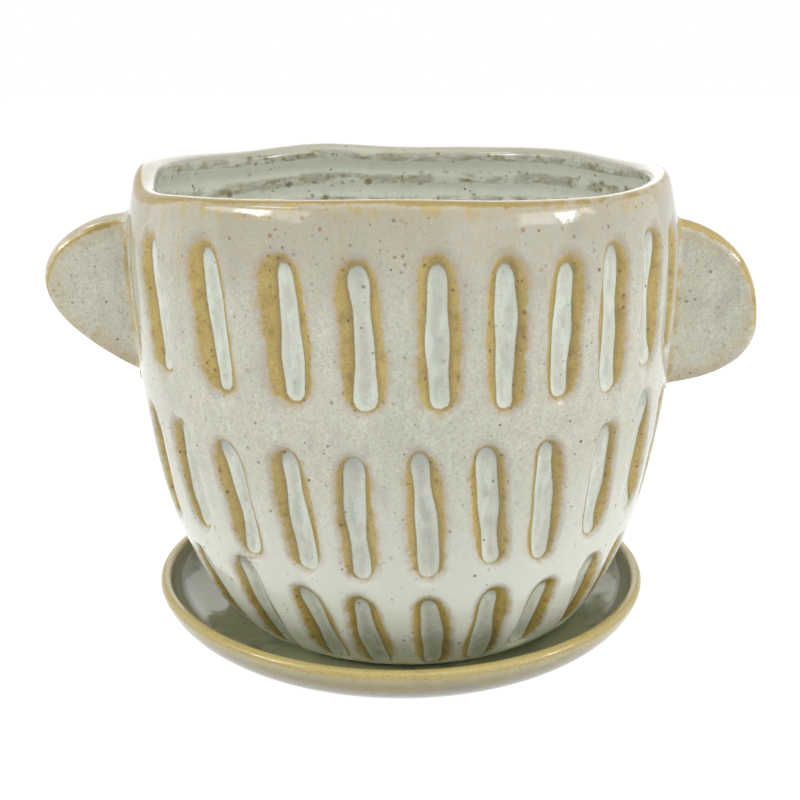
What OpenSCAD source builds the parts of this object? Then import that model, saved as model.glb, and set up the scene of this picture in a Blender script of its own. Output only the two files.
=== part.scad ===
// Hand-carved stoneware flower pot with two flat clay ears, standing in its own saucer.
// All lengths are in millimetres and all angles in degrees.
// Z is up, X runs through the two ears, and the front of the pot faces -Y.
// The origin is the middle of the saucer's underside.
// Angles around the pot start at the front and grow towards +X.
// Heights on the pot are measured from the flat of its foot.

/* [Pot] */
// Height of the pot, from its foot to the mean line of the rim
pot_h = 125.5; // [125:0.5:150]
// Outside radius of the belly, the widest place
belly_r = 75; // [73:0.5:85]
// Height of the belly above the foot
belly_z = 106; // [96:1:112]
// Outside radius of the neck, where the roll of the rim begins
neck_r = 72.2; // [68:0.1:76]
// Outside radius of the foot
foot_r = 41.5; // [38:0.5:50]
// Fullness of the lower wall, from full (small) to lean (large)
fullness = 0.46; // [0.4:0.02:0.6]
// Thickness of the wall
wall = 5.2; // [4.2:0.1:7]
// Thickness of the roll along the rim
rim_t = 6; // [5:0.1:8]
// Thickness of the floor, measured from the plane of the foot
floor_t = 7; // [5:0.5:10]
// Radius of the turn between the wall and the floor, inside
corner_r = 10; // [6:0.5:14]
// Distance of the pot's axis from the middle of the saucer, towards +X
pot_shift = 2.1; // [0:0.1:4]
// Distance that the rim stands off its foot towards -X, because the pot leans
pot_lean = 2; // [0:0.1:3]

/* [Foot and drain] */
// Width of the foot ring that the pot stands on
foot_w = 7; // [5:0.5:12]
// Depth of the recess inside the foot ring
foot_recess = 1.8; // [1:0.1:3]
// Diameter of the drain hole through the floor
drain_d = 13; // [8:0.5:18]

/* [Carving] */
// Number of grooves in each of the three rows
groove_count = 25; // [20:1:26]
// Width of a groove, over both its sloping sides
groove_w = 11; // [8:0.2:12]
// Width of the flat bottom of a groove
groove_flat = 5; // [3:0.2:6]
// Depth of a groove
groove_depth = 1.6; // [0.8:0.1:2.4]
// Distance of the top row below the rim
row_drop = 10; // [8:0.5:12]
// Length of the grooves of the top row
top_row_l = 35.5; // [28:0.5:37]
// Plain band between the top row and the middle row
upper_band = 10; // [6:0.5:12]
// Length of the grooves of the middle row
mid_row_l = 33; // [26:0.5:35]
// Plain band between the middle row and the low row
lower_band = 6.5; // [4:0.5:8]
// Length of the grooves of the low row
low_row_l = 25.5; // [18:0.5:27]

/* [Ears] */
// Thickness of an ear
ear_t = 8; // [6:0.5:11]
// Radius along the edge of an ear
ear_edge = 3.2; // [1.5:0.1:3.5]
// Depth to which an ear is pressed into the wall
ear_bed = 1.2; // [0.8:0.1:1.8]
// Distance that the left ear stands out from the belly
left_out = 24.5; // [15:0.1:32]
// Height of the left ear's root, top
left_top = 113.7; // [106:0.1:117]
// Height of the left ear's tip
left_tip = 95; // [88:0.5:102]
// Height of the left ear's root, bottom
left_low = 68; // [60:0.5:78]
// Distance that the right ear stands out from the belly
right_out = 23.9; // [15:0.1:32]
// Height of the right ear's root, top
right_top = 112.6; // [106:0.1:117]
// Height of the right ear's tip
right_tip = 83.5; // [78:0.5:94]
// Height of the right ear's root, bottom
right_low = 64.8; // [56:0.1:70]

/* [Saucer] */
// Height of the saucer, to the top of its lip
saucer_h = 16.5; // [13:0.5:22]
// Outside radius of the saucer
saucer_r = 70.7; // [66:0.1:82]
// Thickness of the saucer's floor, down to the plane it stands on
saucer_floor = 5.3; // [4:0.1:8]
// Thickness of the saucer's lip
lip_t = 3.2; // [2.6:0.1:4.6]
// Radius of the flat seat for the pot
seat_r = 52; // [46:0.5:58]
// Outside radius of the saucer's foot ring
saucer_foot_r = 50; // [44:0.5:54]
// Width of the saucer's foot ring
saucer_foot_w = 7; // [4:0.5:12]
// Depth of the recess inside the saucer's foot ring
saucer_recess = 1.2; // [0.6:0.1:1.8]

/* [Hidden] */

glaze_colour = [0.80, 0.79, 0.72];
ear_colour = [0.76, 0.74, 0.68];
saucer_colour = [0.72, 0.66, 0.42];
round_fn = 96;

// Height and reach of the hand-formed rim against a true circle, at even places
// around it. The list starts at the front and goes towards +X.
rim_rise = [0.7, -0.2, -0.8, -0.1, 1.2, 0.1, 1.1, 0.4, -0.1, 1.4, 0.3, 1.3, 2.3, -2, -1.1, 0];
rim_reach = [0, 0, -0.3, -0.7, 0, 0, -0.6, 0.7];
// Height at which the rim's unevenness begins to show in the wall
uneven_z = 60;

// Where the carver's hand left the even spacing: the turn of each groove from its
// even place and its lean from top to bottom. The middle entry of a list belongs to
// the groove at the front, and the list repeats around the pot.
row_start = [5.5, 3, 4.5];
row_turn = [
    [-5, -6, -2.5, 1, 2.5, 1.5, 0.5, -1.5, -4, -6.5, -8, -9.5, -9],
    [3, 3, 3.5, 4, 3.5, 1.5, 0.5, -1, -3, -2.5, -2.5, -4, -2],
    [-3, -4, -3.5, 0, 2, 0, 1, 0.5, -0.5, 2, -1, -2, 0]
];
row_lean = [
    [3, 3, 3, 3, 1.5, 1, 0.5, 0.5, -1, 0, -0.5, 1, 2],
    [1, 0, 1, 2.5, 1.5, 0, 2, 3, 2, 1, 3, 2, 0],
    [1, 2, 3, 1.5, 4, 3, 3, 0, -2, 3, -1, 0, 2]
];
// The rows climb a little towards +X
row_climb = [0.5, 2, 1.2];
// A groove this close to the middle of an ear is left out of the two upper rows
ear_keep_off = 5;

// Fullness and slant of an ear's upper curve, and then of its lower curve
left_shape = [0.71, 0.05, 0.31, 0.34];
right_shape = [0.91, 0, 0.91, 0.04];
ear_steps = 11;
root_steps = 10;

// How full the saucer's outside turns: shares of the way out and up to which its curve is
// drawn as it leaves the foot ring, and a share of the way up as it meets the lip
saucer_belly = [0.87, 0.3];
saucer_shoulder = 0.93;
// How steeply its inside falls from the lip, and how far out it runs along the floor
saucer_fall = [0.97, 0.53];
saucer_run = 0.58;
saucer_steps = 10;

// Width of the flat ring around the drain hole, outside and inside
drain_land = 3.5;
inside_steps = 5;

pitch = 360 / groove_count;
columns = 4 * groove_count;
neck_z = pot_h - rim_t / 2;
row_l = [top_row_l, mid_row_l, low_row_l];
top_row_z = pot_h - row_drop;
mid_row_z = top_row_z - top_row_l - upper_band;
low_row_z = mid_row_z - mid_row_l - lower_band;
row_z = [top_row_z, mid_row_z, low_row_z];
// Place of the plain ring between the top row and the neck
shoulder_share = 0.6;
groove_slope = (groove_w - groove_flat) / 2;
// Half the width of a groove is also the radius of its round ends
groove_end = groove_w / 2;
// Share of a groove's end radius that its blunt end takes at once
blunt_share = 0.1;
// Share of the groove's half width at which its inner columns start from its end
tip_share = 0.4;
// Most of the space between two neighbours' middles that a groove's width may take
room_share = 0.92;
// The lowest point of the carving, where the low row dips
carving_z = low_row_z - low_row_l - row_climb[2];

function mix(a, b, t) = a + (b - a) * t;
function wrap(i, n) = (i % n + n) % n;
function ease(t) = let(u = min(1, max(0, t))) u * u * (3 - 2 * u);

// A closed smooth curve through the values of a list, spread evenly over a full turn
function around(list, angle) =
    let(
        n = len(list),
        place = wrap(angle, 360) / 360 * n,
        i = floor(place),
        t = place - i,
        a = list[wrap(i - 1, n)],
        b = list[wrap(i, n)],
        c = list[wrap(i + 1, n)],
        d = list[wrap(i + 2, n)]
    )
    b + t * (c - a + t * (2 * a - 5 * b + 4 * c - d + t * (3 * (b - c) + d - a))) / 2;

// Outside radius of the wall before the rim's unevenness
function wall_r(z) =
    z < belly_z
    ? foot_r + (belly_r - foot_r) * pow(1 - pow(1 - max(0, z) / belly_z, 2), fullness)
    : belly_r - (belly_r - neck_r) * pow((z - belly_z) / (neck_z - belly_z), 2);

function uneven(z) = ease((z - uneven_z) / (neck_z - uneven_z));

// Place of the pot's leaning axis at a height
function lean_x(z) = -pot_lean * z / pot_h;

// A point of the pot at an angle, a radius and a height, with the unevenness of the hand
function on_pot(angle, r, z) =
    let(
        share = uneven(z),
        reach = r + share * around(rim_reach, angle)
    )
    [reach * sin(angle) + lean_x(z), -reach * cos(angle), z + share * around(rim_rise, angle)];

// Middle of groove k of a row, at a share of the groove's length from its top
function groove_angle(row, k, share) =
    let(
        places = len(row_turn[row]),
        place = wrap(k + (places - 1) / 2, places)
    )
    row_start[row] + wrap(k, groove_count) * pitch
    + row_turn[row][place] + row_lean[row][place] * (share - 0.5);

function off_ear(angle) = abs(wrap(angle, 180) - 90);
function off_middle(angle) = abs(wrap(angle + 180, 360) - 180);
function depth_of(row, k) =
    row < 2 && off_ear(groove_angle(row, k, 0.5)) < ear_keep_off ? 0 : groove_depth;

// Number of groove k, counted from the front, with the left half as negative numbers
function signed(k) = k > groove_count / 2 ? k - groove_count : k;

// Half width of a round-ended form at a distance from its end, which is a little blunt
function round_end(distance, radius) =
    let(q = min(radius, max(radius * blunt_share, distance)))
    radius * sqrt(1 - pow(1 - q / radius, 2));

// Offset of column c of a groove from its middle, and its depth, at a distance from
// the nearer end of the groove: the two outer columns draw the edge of the groove,
// the two inner ones the edge of its flat bottom
function column_place(c, end) =
    let(
        side = c < 2 ? -1 : 1,
        outer = c == 0 || c == 3,
        edge = round_end(end, groove_end),
        flat = round_end(end - groove_slope, groove_flat / 2)
    )
    outer ? side * edge
    : end < groove_slope ? side * tip_share * edge
    : side * flat;
function column_depth(c, end) =
    c == 0 || c == 3 ? 0 : min(1, end / groove_slope);

// Share of its width that a groove keeps where a neighbour leans close to it
function squeeze(row, k, share, r) =
    let(
        middle = groove_angle(row, k, share),
        room = min([
            for (step = [-1, 1])
                let(next = signed(wrap(k + step, groove_count)))
                off_middle(groove_angle(row, next, share) - middle)
        ])
    )
    min(1, room_share * room * PI / 180 * r / groove_w);

// Distances from the top of a groove at which a row has its rings
function row_levels(l) =
    let(
        tip = [0, groove_slope / 2, groove_slope, (groove_slope + groove_end) / 2, groove_end],
        run = l - 2 * groove_end
    )
    concat(
        tip,
        [groove_end + run / 3, groove_end + 2 * run / 3],
        [for (i = [4 : -1 : 0]) l - tip[i]]
    );

// One ring of points through a row of grooves, a distance below the row's top
function row_ring(row, down) = [
    for (j = [0 : columns - 1])
        let(
            k = signed(floor(j / 4)),
            c = j % 4,
            l = row_l[row],
            end = min(down, l - down),
            middle = groove_angle(row, k, down / l),
            z = row_z[row] - down + row_climb[row] * sin(middle),
            r = wall_r(z),
            width = squeeze(row, k, down / l, r),
            angle = middle + width * column_place(c, end) / r * 180 / PI
        )
        on_pot(angle, r - depth_of(row, k) * column_depth(c, end), z)
];

// A plain ring whose columns spread evenly about the mean of two rows' grooves
function plain_angle(j, above, below) =
    let(k = signed(floor(j / 4)))
    (groove_angle(above, k, 1) + groove_angle(below, k, 0)) / 2
    + (j % 4 - 1.5) / 4 * pitch;
function plain_ring(r, z, above, below, climb = 0) = [
    for (j = [0 : columns - 1])
        let(
            angle = plain_angle(j, above, below),
            lift = climb * sin(angle)
        )
        on_pot(angle, r, z + lift)
];
// The two plain rings of the band between two rows, a third of its width apart
function band_rings(above, below) = [
    for (share = [2 / 3, 1 / 3])
        let(
            z = mix(row_z[above] - row_l[above], row_z[below], share),
            climb = mix(row_climb[above], row_climb[below], share)
        )
        plain_ring(wall_r(z), z, above, below, climb)
];

// Rings of the underside, from the flat middle out over the foot ring
centre_r = drain_d / 2 + drain_land;
under_rings = [
    plain_ring(centre_r, foot_recess, 2, 2),
    plain_ring(foot_r - foot_w - foot_recess / 2, foot_recess, 2, 2),
    plain_ring(foot_r - foot_w, 0, 2, 2),
    plain_ring(foot_r, 0, 2, 2),
    plain_ring(wall_r(carving_z / 4), carving_z / 4, 2, 2),
    plain_ring(wall_r(carving_z / 2), carving_z / 2, 2, 2)
];

// Rings of the carved outside, from the low row up to the neck
function row_rings(row) =
    let(down = row_levels(row_l[row]))
    [for (i = [len(down) - 1 : -1 : 0]) row_ring(row, down[i])];
shoulder_z = mix(top_row_z, neck_z, shoulder_share);
outside_rings = concat(
    row_rings(2),
    band_rings(1, 2),
    row_rings(1),
    band_rings(0, 1),
    row_rings(0),
    [plain_ring(wall_r(shoulder_z), shoulder_z, 0, 0)]
);

// Rings of the rolled rim, a half circle from the outside over the crest to the inside
rim_rings = [
    for (turn = [0 : 30 : 180])
        plain_ring(
            neck_r - rim_t / 2 * (1 - cos(turn)),
            neck_z + rim_t / 2 * sin(turn),
            0,
            0
        )
];

// Rings of the inside wall, of the turn at its foot, and of the flat floor
corner_z = floor_t + corner_r;
corner_wall_r = wall_r(corner_z) - wall;
inside_rings = concat(
    [
        for (i = [0 : inside_steps])
            let(z = mix(neck_z - rim_t, corner_z, i / inside_steps))
            plain_ring(wall_r(z) - wall, z, 0, 0)
    ],
    [
        for (turn = [30 : 30 : 90])
            plain_ring(
                corner_wall_r - corner_r * (1 - cos(turn)),
                corner_z - corner_r * sin(turn),
                0,
                0
            )
    ],
    [plain_ring(centre_r, floor_t, 0, 0)]
);

// Triangles of a skin over a stack of rings, closed by a flat cap at each end.
// A cap is one coarse polygon in the middle, with a small one along each of its sides.
function skin_faces(rings, n) =
    let(last = (rings - 1) * n)
    concat(
        [
            for (i = [0 : rings - 2], j = [0 : n - 1])
                [i * n + j, (i + 1) * n + j, (i + 1) * n + (j + 1) % n]
        ],
        [
            for (i = [0 : rings - 2], j = [0 : n - 1])
                [i * n + j, (i + 1) * n + (j + 1) % n, i * n + (j + 1) % n]
        ],
        [[for (j = [0 : 4 : n - 1]) j]],
        [for (j = [0 : 4 : n - 1]) [for (s = [0 : 4]) (j + s) % n]],
        [[for (j = [n - 4 : -4 : 0]) last + j]],
        [for (j = [0 : 4 : n - 1]) [for (s = [4 : -1 : 0]) last + (j + s) % n]]
    );

// A cubic curve from a to d, drawn towards b and c
function bend(a, b, c, d, t) =
    let(u = 1 - t)
    u * u * u * a + 3 * u * u * t * b + 3 * u * t * t * c + t * t * t * d;
function bend_way(a, b, c, d, t) =
    let(u = 1 - t)
    u * u * (b - a) + 2 * u * t * (c - b) + t * t * (d - c);

// Radius of the bed at a height: the surface inside the wall that an ear reaches
function bed_r(z) = wall_r(z) - ear_bed;

// One half of an ear's outline, as a curve from its root to its tip
function ear_half(root, tip_x, tip, full, slant) =
    let(w = tip_x - bed_r(root))
    [
        [bed_r(root), root],
        [bed_r(root) + w * (1 - full), root + w * slant],
        [tip_x, mix(tip, root, full)],
        [tip_x, tip]
    ];
// Outline points with their inward ways, from the top of the root to the bottom.
// The first and the last point move straight down and up.
function ear_outline(top, tip_x, tip, low, shape) =
    let(
        high = ear_half(top, tip_x, tip, shape[0], shape[1]),
        deep = ear_half(low, tip_x, tip, shape[2], shape[3])
    )
    concat(
        [
            for (i = [0 : ear_steps])
                let(
                    t = i / ear_steps,
                    way = bend_way(high[0], high[1], high[2], high[3], t)
                )
                [
                    bend(high[0], high[1], high[2], high[3], t),
                    i == 0 ? [0, -1] : [way[1], -way[0]] / norm(way)
                ]
        ],
        [
            for (i = [ear_steps - 1 : -1 : 0])
                let(
                    t = i / ear_steps,
                    way = bend_way(deep[0], deep[1], deep[2], deep[3], t)
                )
                [
                    bend(deep[0], deep[1], deep[2], deep[3], t),
                    i == 0 ? [0, 1] : [-way[1], way[0]] / norm(way)
                ]
        ]
    );
// The rounded edge of an ear as pairs of inset and thickness, front to back
ear_section = concat(
    [
        for (turn = [0 : 30 : 90])
            [ear_edge * (1 - sin(turn)), -ear_t / 2 + ear_edge * (1 - cos(turn))]
    ],
    [
        for (turn = [90 : -30 : 0])
            [ear_edge * (1 - sin(turn)), ear_t / 2 - ear_edge * (1 - cos(turn))]
    ]
);

// A flat clay ear on the side of +X (side 1) or -X (side -1): its rounded edge is carried
// along the outline, and its root follows the bed in the wall from the bottom to the top
module ear_slab(outline, side) {
    m = len(ear_section);
    n = len(outline);
    rows = n + root_steps - 1;
    flat = [
        for (p = outline, s = ear_section)
            let(q = p[0] + p[1] * s[0])
            [q[0], s[1], q[1]]
    ];
    root_end = [for (j = [0 : m - 1]) flat[(n - 1) * m + j]];
    root = [
        for (i = [1 : root_steps - 1], j = [0 : m - 1])
            let(z = mix(root_end[j][2], flat[j][2], i / root_steps))
            [0, root_end[j][1], z]
    ];
    points = [
        for (i = [0 : rows - 1], j = [0 : m - 1])
            let(
                q = i < n ? flat[i * m + j] : root[(i - n) * m + j],
                seated = i == 0 || i >= n - 1,
                x = seated ? sqrt(pow(bed_r(q[2]), 2) - pow(q[1], 2)) : q[0]
            )
            [side * x + lean_x(q[2]), side * q[1], q[2]]
    ];
    faces = concat(
        [
            for (i = [0 : rows - 1], j = [0 : m - 2])
                [i * m + j, i * m + j + 1, (i + 1) % rows * m + j + 1]
        ],
        [
            for (i = [0 : rows - 1], j = [0 : m - 2])
                [i * m + j, (i + 1) % rows * m + j + 1, (i + 1) % rows * m + j]
        ],
        [[for (i = [0 : rows - 1]) i * m]],
        [[for (i = [rows - 1 : -1 : 0]) i * m + m - 1]]
    );
    polyhedron(points, faces, convexity = 4);
}

// Carries a piece from the pot's own frame to its place on the saucer
module on_seat() {
    translate([pot_shift, 0, saucer_floor])
        children();
}

module pot_body() {
    rings = concat(under_rings, outside_rings, rim_rings, inside_rings);
    color(glaze_colour)
        on_seat()
            difference() {
                polyhedron(
                    [for (ring = rings) each ring],
                    skin_faces(len(rings), columns),
                    convexity = 8
                );
                translate([0, 0, -1])
                    cylinder(h = floor_t + 2, d = drain_d, $fn = round_fn);
            }
}

module left_ear() {
    tip_x = belly_r + left_out;
    color(ear_colour)
        on_seat()
            ear_slab(ear_outline(left_top, tip_x, left_tip, left_low, left_shape), -1);
}

module right_ear() {
    tip_x = belly_r + right_out;
    color(ear_colour)
        on_seat()
            ear_slab(ear_outline(right_top, tip_x, right_tip, right_low, right_shape), 1);
}

// The saucer's section: foot ring, outside, rolled lip, inside and seat. The outside
// leaves the foot ring almost flat and turns up to the lip, and the inside falls steeply
// from the lip and runs out into the seat.
module saucer() {
    roll = lip_t / 2;
    roll_x = saucer_r - roll;
    roll_z = saucer_h - roll;
    lip_in = roll_x - roll;
    foot_in = saucer_foot_r - saucer_foot_w;
    outside = [
        for (i = [0 : saucer_steps])
            bend(
                [saucer_foot_r, 0],
                [mix(saucer_foot_r, saucer_r, saucer_belly[0]), saucer_belly[1] * roll_z],
                [saucer_r, saucer_shoulder * roll_z],
                [saucer_r, roll_z],
                i / saucer_steps
            )
    ];
    lip = [for (turn = [20 : 20 : 160]) [roll_x + roll * cos(turn), roll_z + roll * sin(turn)]];
    inside = [
        for (i = [0 : saucer_steps])
            bend(
                [lip_in, roll_z],
                [mix(seat_r, lip_in, saucer_fall[0]), mix(saucer_floor, roll_z, saucer_fall[1])],
                [mix(seat_r, lip_in, saucer_run), saucer_floor],
                [seat_r, saucer_floor],
                i / saucer_steps
            )
    ];
    section = concat(
        [[0, saucer_recess], [foot_in - saucer_recess, saucer_recess], [foot_in, 0]],
        outside,
        lip,
        inside,
        [[0, saucer_floor]]
    );
    color(saucer_colour)
        rotate_extrude($fn = round_fn)
            polygon(section);
}

pot_body();
left_ear();
right_ear();
saucer();
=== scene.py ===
# %% [markdown]
# # Flower pot with saucer
#
# A small stoneware planter for a table. The real one is thrown on a wheel, carved with a
# loop tool while the clay is firm, given two flat clay ears, and dipped in a pale glaze
# that breaks to ochre wherever it runs thin. It stands loose in a thrown saucer.
#
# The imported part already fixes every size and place. This lesson dresses it: each piece is
# worked out again as a fine surface in the same place, and each finish is made from nodes.

import bpy
import numpy as np
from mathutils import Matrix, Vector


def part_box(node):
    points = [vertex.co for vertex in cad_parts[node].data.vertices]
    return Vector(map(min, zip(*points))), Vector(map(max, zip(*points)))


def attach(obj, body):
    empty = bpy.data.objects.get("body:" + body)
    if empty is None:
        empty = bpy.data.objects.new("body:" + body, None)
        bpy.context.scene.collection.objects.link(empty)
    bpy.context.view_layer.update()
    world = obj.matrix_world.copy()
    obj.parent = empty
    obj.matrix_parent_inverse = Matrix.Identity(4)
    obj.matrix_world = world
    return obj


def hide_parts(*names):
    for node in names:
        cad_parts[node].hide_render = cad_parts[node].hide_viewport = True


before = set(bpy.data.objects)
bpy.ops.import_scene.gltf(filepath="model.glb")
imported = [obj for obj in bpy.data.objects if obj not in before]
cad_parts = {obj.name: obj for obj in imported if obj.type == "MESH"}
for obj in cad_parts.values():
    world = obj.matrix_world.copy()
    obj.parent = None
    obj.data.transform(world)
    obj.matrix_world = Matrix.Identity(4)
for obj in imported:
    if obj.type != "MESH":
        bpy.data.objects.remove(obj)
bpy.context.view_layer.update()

# %% [markdown]
# ## Sizes
#
# A potter thinks in millimetres, so the shapes are worked out in them and turned into
# metres at the very end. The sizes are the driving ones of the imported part. Angles run
# in degrees from the front of the pot towards +X, and heights start at the pot's foot.

# %% Sizes of the pot in millimetres
MM = 0.001
POT_H, BELLY_R, BELLY_Z, NECK_R, FOOT_R = 125.5, 75.0, 106.0, 72.2, 41.5
FULLNESS = 0.46
WALL, RIM_T, FLOOR_T, CORNER_R = 5.2, 6.0, 7.0, 10.0
NECK_Z = POT_H - RIM_T / 2
FOOT_W, FOOT_RECESS, DRAIN_R = 7.0, 1.8, 6.5
POT_SHIFT, POT_LEAN = 2.1, 2.0
SEAT_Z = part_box("pot_body")[0][2] / MM
print("the pot stands", round(SEAT_Z, 2), "mm up, on the floor of its saucer")

# %% Small helpers for smooth steps and round trips
def mix(a, b, share):
    """Straight line from a to b."""
    return a + (b - a) * share


def ease(t):
    """Smooth step: 3 t squared less 2 t cubed, with t kept between 0 and 1."""
    t = np.clip(t, 0, 1)
    return t * t * (3 - 2 * t)


def around(values, angle):
    """Closed smooth curve through evenly spread values, by the Catmull-Rom formula."""
    values = np.asarray(values, float)
    place = np.mod(angle, 360) / 360 * len(values)
    i = np.floor(place).astype(int)
    t = place - i
    a, b, c, d = (values[(i + step) % len(values)] for step in (-1, 0, 1, 2))
    return b + t * (c - a + t * (2 * a - 5 * b + 4 * c - d + t * (3 * (b - c) + d - a))) / 2


def chance(*numbers):
    """Repeatable noise from 0 to 1: the broken part of a large sine of the numbers."""
    mixed = sum(n * w for n, w in zip(numbers, (12.9898, 78.233, 37.719)))
    return np.mod(np.sin(mixed) * 43758.5453, 1)


def swell(x, y, seed):
    """Slow unevenness from -1 to 1: three sines that cross at slanting angles."""
    return (
        np.sin(x + 1.7 * y + seed)
        + np.sin(2.3 * x - 1.1 * y + 2.1 * seed)
        + np.sin(-1.4 * x + 3.1 * y + 3.7 * seed)
    ) / 3


print("ease(0.5) is", ease(0.5))

# %% [markdown]
# ## From a grid of points to a closed skin
#
# Every piece here is one grid: rows along the section, columns around. A grid could be
# built point by point, but whole arrays are shorter and far faster. The rows close on
# themselves where the piece is a ring, as the pot is because of its drain hole, and end in
# a pole where it isn't. A quick sum of the volume tells whether the faces look outwards.

# %% Build a closed skin
def skin(name, points, ring=False, **fields):
    """Mesh object from a grid of points in mm, rows x columns x 3, with closed columns.

    Face (i, j) joins points (i, j), (i, j+1), (i+1, j+1) and (i+1, j). The volume is a
    sixth of the sum of a . (b x c) over the triangles, and turns the faces if negative.
    Each field is a grid of numbers, kept as a point attribute.
    """
    rows, columns = points.shape[:2]
    verts = points.reshape(-1, 3)
    last = rows if ring else rows - 1
    i, j = np.meshgrid(np.arange(last), np.arange(columns), indexing="ij")
    here, there = i * columns, (i + 1) % rows * columns
    quads = np.stack(
        [here + j, here + (j + 1) % columns, there + (j + 1) % columns, there + j], -1
    ).reshape(-1, 4)
    fans = np.zeros((0, 3), int)
    if not ring:
        j = np.arange(columns)
        low, high = np.full(columns, len(verts)), np.full(columns, len(verts) + 1)
        top = (rows - 1) * columns
        fans = np.concatenate(
            [
                np.stack([(j + 1) % columns, j, low], -1),
                np.stack([top + j, top + (j + 1) % columns, high], -1),
            ]
        )
        verts = np.concatenate([verts, points[[0, -1]].mean(1)])
    a, b, c, d = (verts[quads[:, n]] for n in range(4))
    volume = (a * np.cross(b, c)).sum() + (a * np.cross(c, d)).sum()
    volume += (verts[fans[:, 0]] * np.cross(verts[fans[:, 1]], verts[fans[:, 2]])).sum()
    if volume < 0:
        quads, fans = quads[:, ::-1], fans[:, ::-1]
    mesh = bpy.data.meshes.new(name)
    mesh.from_pydata((verts * MM).tolist(), [], quads.tolist() + fans.tolist())
    for label, grid in fields.items():
        values = np.broadcast_to(grid, (rows, columns)).astype(float)
        flat = values.ravel()
        if not ring:
            flat = np.concatenate([flat, values[[0, -1]].mean(1)])
        mesh.attributes.new(label, "FLOAT", "POINT").data.foreach_set("value", flat)
    mesh.shade_smooth()
    piece = bpy.data.objects.new(name, mesh)
    bpy.context.scene.collection.objects.link(piece)
    faces = 2 * len(quads) + len(fans)
    print(name, "has", faces, "triangles and holds", round(abs(volume) / 6000, 1), "ml")
    return piece


# %% [markdown]
# ## The wall of the pot
#
# The outside swells from the foot to a belly close under the rim. A polygon with
# subdivision would give a like shape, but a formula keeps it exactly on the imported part.
# The hand shows in three ways: the rim rises and falls, it isn't quite round, and the whole
# pot leans a little. All three fade out below half height.

# %% Radius of the wall and the unevenness of the hand
RIM_RISE = [0.7, -0.2, -0.8, -0.1, 1.2, 0.1, 1.1, 0.4, -0.1, 1.4, 0.3, 1.3, 2.2, -2, -1.1, 0]
RIM_REACH = [0, 0, -0.3, -0.7, 0, 0, -0.6, 0.7]
UNEVEN_Z = 60.0


def wall_r(z):
    """Wall radius at height z.

    Below the belly: foot radius plus the swell times (1 - (1 - z / belly z) squared) to
    the power of the fullness. Above it: drawn in by the square of the way to the neck.
    """
    low = 1 - (1 - np.clip(z, 0, BELLY_Z) / BELLY_Z) ** 2
    high = (np.maximum(z, BELLY_Z) - BELLY_Z) / (NECK_Z - BELLY_Z)
    swelling = FOOT_R + (BELLY_R - FOOT_R) * low**FULLNESS
    return swelling - (BELLY_R - NECK_R) * high**2


def on_pot(angle, r, z):
    """Point at an angle, a radius and a height of the even pot, moved as the hand left it:
    the rim's rise and reach come in smoothly above UNEVEN_Z, and the axis leans with z."""
    share = ease((z - UNEVEN_Z) / (NECK_Z - UNEVEN_Z))
    reach = r + share * around(RIM_REACH, angle)
    turn = np.radians(angle)
    x = reach * np.sin(turn) - POT_LEAN * z / POT_H + POT_SHIFT
    height = z + share * around(RIM_RISE, angle) + SEAT_Z
    return np.stack([x, -reach * np.cos(turn), height], -1)


print("belly", wall_r(np.array([BELLY_Z]))[0], "mm, neck", wall_r(np.array([NECK_Z]))[0], "mm")

# %% [markdown]
# ## Where the grooves lie
#
# Three rows of 25 grooves are carved freehand, so no two are spaced or tilted alike. The
# lists hold how far each groove turns from its even place, how far it leans from top to
# bottom, how far its top and its end lie below the row's, and how much its left half is
# wider; their middle entry belongs to the front. The lower rows are a little narrower, and
# nothing is carved where the ears sit.

# %% Places of the grooves
GROOVES = 25
PITCH = 360 / GROOVES
ROW_TOP = np.array([115.5, 70.0, 30.5])
ROW_LENGTH = np.array([35.5, 33.0, 25.5])
ROW_CLIMB = np.array([0.5, 2.0, 1.2])
ROW_START = [5.5, 3, 4.5]
ROW_TURN = [
    [-5, -6, -2.5, 1, 2.5, 1.5, 0.5, -1.5, -4, -6.5, -8, -9.5, -9],
    [3, 3, 3.5, 4, 3.5, 1.5, 0.5, -1, -3, -2.5, -2.5, -4, -2],
    [-3, -4, -3.5, 0, 2, 0, 1, 0.5, -0.5, 2, -1, -2, 0],
]
ROW_LEAN = [
    [3, 3, 3, 3, 1.5, 1, 0.5, 0.5, -1, 0, -0.5, 1, 2],
    [1, 0, 1, 2.5, 1.5, 0, 2, 3, 2, 1, 3, 2, 0],
    [1, 2, 3, 1.5, 4, 3, 3, 0, -2, 3, -1, 0, 2],
]
ROW_DROP = [
    [0, 0, -2, -1, 0.5, 2, 0, 1.6, 1.4, -1.2, -1, 0, 0],
    [0, 0, 0.5, 2.6, 2.2, 2.2, 0.2, 0.5, 0.9, 0.7, -3.9, 0, 0],
    [0, 0, -0.4, -4.5, 1.4, 2.6, 2.8, 1.9, 2.8, 0.7, 0, 0, 0],
]
ROW_END = [
    [0, 0, -1.5, 0.5, 0.5, 2.7, 1.8, 4, 2.8, 2, 0, 0, 0],
    [0, 0, -3, 1.9, 1.8, 3.9, 1.6, 1, 3, -1, -2.8, 0, 0],
    [0, 0, 2, 2.5, 2.5, 2.5, 1.4, 2.5, -1.2, 0, 0, 0, 0],
]
ROW_WIDE = [
    [0, 0, 1, 2, 1.9, 0.6, 0, 0, 0, 0, 0, 0, 0],
    [0, 0, 0, 0.6, 0.6, 0, 0, 0, 0, 0, 0, 0, 0],
    [0, 0, 0, 0, 0, 0, 0, 0, 0, 0, 0, 0, 0],
]
ROW_HALF, ROW_MORE = [5.7, 5.2, 5.2], [1.4, 1.0, 0.4]
EAR_KEEP_OFF = 5
COUNT = np.arange(GROOVES)
CENTRE_ENTRY, ENTRIES = 6, 13


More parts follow.
